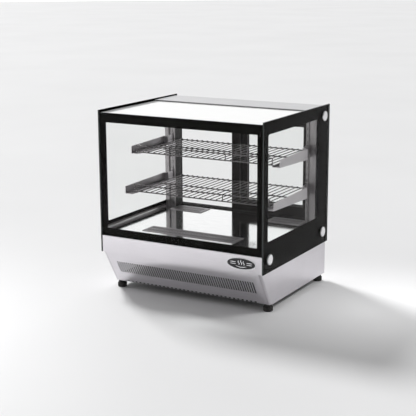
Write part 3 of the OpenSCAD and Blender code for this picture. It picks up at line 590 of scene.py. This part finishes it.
def pan_screw(shape, x, y, z, turn):
    """Pan head with a cross recess, standing out from the face at y; turn is how it was left."""
    head, height = 3.6 * MM, 1.9 * MM
    recess, arm, half_slot = 0.9 * MM, 2.0 * MM, 0.45 * MM
    count = 24

    def circle(radius, rise):
        return [shape.verts.new((x + radius * math.cos(math.tau * i / count), y + rise,
                                 z + radius * math.sin(math.tau * i / count))) for i in range(count)]

    def joined(one, other):
        for i in range(len(one)):
            j = (i + 1) % len(one)
            shape.faces.new((one[i], one[j], other[j], other[i]))

    rings = [circle(head, 0), circle(head, 0.9 * MM), circle(head * 0.93, 1.5 * MM),
             circle(head * 0.76, height)]
    for one, other in zip(rings, rings[1:]):
        joined(one, other)
    cross = []
    for quarter in range(4):
        for along, across in ((arm, -half_slot), (arm, half_slot), (half_slot, half_slot)):
            angle = turn + quarter * math.pi / 2
            cross.append((x + along * math.cos(angle) - across * math.sin(angle),
                          z + along * math.sin(angle) + across * math.cos(angle)))
    top = [shape.verts.new((cx, y + height, cz)) for cx, cz in cross]
    floor = [shape.verts.new((x + (cx - x) * 0.7, y + height - recess, z + (cz - z) * 0.7))
             for cx, cz in cross]
    joined(top, floor)
    shape.faces.new(floor)
    edges = [shape.edges.get((loop[i], loop[(i + 1) % len(loop)]))
             for loop in (rings[-1], top) for i in range(len(loop))]
    bmesh.ops.triangle_fill(shape, edges=edges, use_beauty=True)
    shape.faces.new(rings[0])


def service_panel_screws():
    """Four screws along the lower edge of the service panel and four along the upper one."""
    low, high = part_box("base_rear_panel")
    inset, spacing = 10 * MM, 210 * MM
    shape = bmesh.new()
    spots = [(column * spacing, z) for z in (low.z + inset, high.z - inset)
             for column in (-1.5, -0.5, 0.5, 1.5)]
    for i, (x, z) in enumerate(spots):
        pan_screw(shape, x, high.y, z, turn=0.7 * i)
    piece("service_panel_screws", shape, ZINC, "cabinet")


# Lit bars of each digit, lettered from A at the top, clockwise to F, with G in the middle
SEGMENTS = {"6": "ACDEFG", "5": "ACDFG"}


def seven_segment(shape, digit, x, z, size, y0, y1):
    """A digit seen from the rear, so its left is towards +X."""
    half, tall, bar = size * 0.28, size * 0.5, size * 0.09
    ends = {"A": ((-half, tall), (half, tall)), "B": ((half, tall), (half, 0)),
            "C": ((half, 0), (half, -tall)), "D": ((-half, -tall), (half, -tall)),
            "E": ((-half, 0), (-half, -tall)), "F": ((-half, tall), (-half, 0)),
            "G": ((-half, 0), (half, 0))}
    for key in SEGMENTS[digit]:
        (ax, az), (bx, bz) = ends[key]
        start, end = Vector((-ax + x, az + z)), Vector((-bx + x, bz + z))
        along = (end - start).normalized()
        side = Vector((-along.y, along.x)) * bar
        outline = [start + along * bar * 0.3, start + along * bar * 1.3 + side,
                   end - along * bar * 1.3 + side, end - along * bar * 0.3,
                   end - along * bar * 1.3 - side, start + along * bar * 1.3 - side]
        prism(shape, [tuple(p) for p in outline], y0, y1, 0.02 * MM)


def rounded_outline(low, high, radius):
    """Outline of a rectangle with round corners, as (x, z) points."""
    steps = 6
    left, right = low[0] + radius, high[0] - radius
    bottom, top = low[1] + radius, high[1] - radius
    outline = []
    for corner, (cx, cz) in enumerate(((left, bottom), (right, bottom), (right, top), (left, top))):
        for i in range(steps + 1):
            angle = math.pi + (corner + i / steps) * math.pi / 2
            outline.append((cx + radius * math.cos(angle), cz + radius * math.sin(angle)))
    return outline


def disc_outline(x, z, radius, corners, start=0.0):
    """Regular outline round (x, z), as (x, z) points, with its first corner at the angle start."""
    return [(x + radius * math.cos(start + math.tau * i / corners),
             z + radius * math.sin(start + math.tau * i / corners)) for i in range(corners)]


def controller_face():
    """Dark window in the bezel's recess with a glowing temperature, and marks on the buttons."""
    low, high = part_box("controller")
    face = high.y - 1 * MM
    mid_x, mid_z = (low.x + high.x) / 2, (low.z + high.z) / 2
    window = bmesh.new()
    outline = rounded_outline((mid_x - 27.5 * MM, mid_z - 2.5 * MM),
                              (mid_x + 27.5 * MM, mid_z + 12.5 * MM), 1.5 * MM)
    prism(window, outline, face, face + 0.7 * MM, 0.2 * MM)
    piece("display_window", window, WINDOW_BLACK, "cabinet")
    digits = bmesh.new()
    root = face + 0.65 * MM
    for place, digit in enumerate("65"):
        seven_segment(digits, digit, mid_x + (5 - 9 * place) * MM, mid_z + 5 * MM, 10 * MM,
                      root, face + 0.8 * MM)
    prism(digits, disc_outline(mid_x + 17 * MM, mid_z + 8 * MM, 0.9 * MM, 16),
          root, face + 0.85 * MM, 0.1 * MM)
    piece("display_digits", digits, DIGITS, "cabinet")
    # Triangles that point up and down, and a dot
    for name, corners, size, start in (("up", 3, 1.5 * MM, math.pi / 2),
                                       ("down", 3, 1.5 * MM, -math.pi / 2),
                                       ("set", 20, 1.1 * MM, math.pi / 2)):
        button_low, button_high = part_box("button_" + name)
        centre = (button_low + button_high) / 2
        mark = bmesh.new()
        prism(mark, disc_outline(centre.x, centre.z, size, corners, start),
              button_high.y - 0.05 * MM, button_high.y + 0.12 * MM, 0.05 * MM)
        piece(name + "_button_mark", mark, MARK_WHITE, name + "_button")


# How far a rocker is tipped at rest, the angle of its two slopes, and the middle of a slope: out
# from the pin, and up or down from it
ROCKER_TIP = math.radians(12)
ROCKER_SLOPE = math.atan2(2.0, 11.5)
SLOPE_OUT, SLOPE_RISE = 4.55 * MM, 6.0 * MM


def rocker_marks(rocker, body):
    """Line and ring moulded in the two slopes of a rocker, tipped with it."""
    low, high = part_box(rocker)
    pin = Vector(((low.x + high.x) / 2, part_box("base_rear_panel")[1].y - 1 * MM,
                  sum(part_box("switch_housings"), Vector()).z / 2))
    foot, rise = -0.05 * MM, 0.12 * MM
    line_half_width, line_half_length = 0.5 * MM, 1.9 * MM
    count = 32

    def on_slope(part, side):
        bmesh.ops.transform(part, matrix=Matrix.Translation((0, SLOPE_OUT, side * SLOPE_RISE))
                            @ Matrix.Rotation(-side * ROCKER_SLOPE, 4, "X"), verts=part.verts)

    shape = bmesh.new()
    prism(shape, [(-line_half_width, -line_half_length), (line_half_width, -line_half_length),
                  (line_half_width, line_half_length), (-line_half_width, line_half_length)],
          foot, rise, 0.05 * MM)
    on_slope(shape, 1)
    ring = bmesh.new()
    section = [(1.3 * MM, foot), (2.2 * MM, foot), (2.1 * MM, rise), (1.4 * MM, rise)]
    loft(ring, [[(r * math.cos(math.tau * i / count), y, r * math.sin(math.tau * i / count))
                 for r, y in section] for i in range(count)])
    on_slope(ring, -1)
    spare = bpy.data.meshes.new("ring")
    ring.to_mesh(spare)
    ring.free()
    shape.from_mesh(spare)
    bpy.data.meshes.remove(spare)
    bmesh.ops.transform(shape, matrix=Matrix.Translation(pin) @ Matrix.Rotation(ROCKER_TIP, 4, "X"),
                        verts=shape.verts)
    piece(rocker + "_marks", shape, MARK_WHITE, body)


badge_motif()
glazing_gasket("door_left", "left_door")
glazing_gasket("door_right", "right_door")
service_panel_screws()
controller_face()
rocker_marks("power_rocker", "power_switch")
rocker_marks("light_rocker", "light_switch")


# Camera, floor and light -----------------------------------------------------------------------

CAMERA_AT = Vector((2.0202, -3.5994, 1.2686))
CAMERA_TURN = math.radians(29.74)
CAMERA_DOWN = math.radians(13.0)
CAMERA_ROLL = math.radians(-0.28)
LENS = 93.64


def make_camera():
    """Camera where the photo was taken from."""
    data = bpy.data.cameras.new("camera")
    data.lens = LENS
    data.sensor_width = 36
    data.clip_end = 200
    camera = bpy.data.objects.new("camera", data)
    camera.matrix_world = (Matrix.Translation(CAMERA_AT)
                           @ Matrix.Rotation(CAMERA_TURN, 4, "Z")
                           @ Matrix.Rotation(math.pi / 2 - CAMERA_DOWN, 4, "X")
                           @ Matrix.Rotation(CAMERA_ROLL, 4, "Z"))
    bpy.context.scene.collection.objects.link(camera)
    bpy.context.scene.camera = camera


def make_floor():
    """Pale floor that reaches past what any view shows."""
    look = Look("pale_floor", Roughness=0.6, Specular_IOR_Level=0.2)
    clouds = look.spread(look.noise(0.8, 3), 0, 1)
    look.colour(look.blend(clouds, (0.73, 0.73, 0.735), (0.76, 0.76, 0.765)))
    mesh = bpy.data.meshes.new("floor")
    shape = bmesh.new()
    bmesh.ops.create_circle(shape, cap_ends=True, radius=30, segments=64)
    shape.to_mesh(mesh)
    shape.free()
    mesh.materials.append(look.material)
    floor = bpy.data.objects.new("floor", mesh)
    bpy.context.scene.collection.objects.link(floor)


# Direction of the bright end of the surroundings, and their strength there and opposite
BRIGHT_SIDE = Vector((-0.9, 0.43, 0)).normalized()
BRIGHT_LIGHT, DIM_LIGHT = 1.18, 0.30
# Share of that strength overhead
ZENITH_SHARE = 0.5


def hang_light(data, towards):
    """Adds a light that shines along the direction towards."""
    light = bpy.data.objects.new(data.name, data)
    light.rotation_euler = Vector(towards).to_track_quat("-Z", "Y").to_euler()
    bpy.context.scene.collection.objects.link(light)
    return light


def sun_light(name, comes_from, softness, strength):
    """Even light over the whole floor; softness is the sun's width in degrees."""
    data = bpy.data.lights.new(name, "SUN")
    data.angle = math.radians(softness)
    data.energy = strength
    hang_light(data, -Vector(comes_from))


def pool_light(name, at, target, cone, power):
    """Pool of light with a soft rim on the floor near the case; cone is its width in degrees."""
    data = bpy.data.lights.new(name, "SPOT")
    data.spot_size = math.radians(cone)
    data.spot_blend = 1.0
    data.shadow_soft_size = 0.4
    data.energy = power
    hang_light(data, Vector(target) - Vector(at)).location = at


def make_world():
    """White surroundings, brightest behind the case on its left and dimmer overhead."""
    world = bpy.data.worlds.new("studio")
    world.use_nodes = True
    tree = world.node_tree

    def ramp(value, low, high, source):
        made = tree.nodes.new("ShaderNodeMapRange")
        made.interpolation_type = "SMOOTHSTEP"
        for key, number in zip(("From Min", "From Max", "To Min", "To Max"), (*source, low, high)):
            made.inputs[key].default_value = number
        tree.links.new(value, made.inputs["Value"])
        return made.outputs["Result"]

    direction = tree.nodes.new("ShaderNodeTexCoord").outputs["Generated"]
    split = tree.nodes.new("ShaderNodeSeparateXYZ")
    tree.links.new(direction, split.inputs["Vector"])
    towards = tree.nodes.new("ShaderNodeVectorMath")
    towards.operation = "DOT_PRODUCT"
    tree.links.new(direction, towards.inputs[0])
    towards.inputs[1].default_value = BRIGHT_SIDE
    strength = tree.nodes.new("ShaderNodeMath")
    strength.operation = "MULTIPLY"
    around = ramp(towards.outputs["Value"], DIM_LIGHT, BRIGHT_LIGHT, (-1.0, 1.0))
    overhead = ramp(split.outputs["Z"], 1.0, ZENITH_SHARE, (0.1, 0.75))
    tree.links.new(around, strength.inputs[0])
    tree.links.new(overhead, strength.inputs[1])
    tree.links.new(strength.outputs["Value"], tree.nodes["Background"].inputs["Strength"])
    tree.nodes["Background"].inputs["Color"].default_value = (1.0, 1.0, 1.0, 1)
    bpy.context.scene.world = world


make_camera()
make_floor()
make_world()
sun_light("high_sun", (-0.75, 0.36, 0.80), 14, 2.85)
pool_light("side_floor_light", (1.5, 0.4, 1.3), (0.6, 0.02, 0), 32, 110)
pool_light("front_floor_light", (-1.5, -1.6, 2.6), (-1.5, -1.6, 0), 74, 230)
bpy.context.scene.view_settings.view_transform = "Standard"
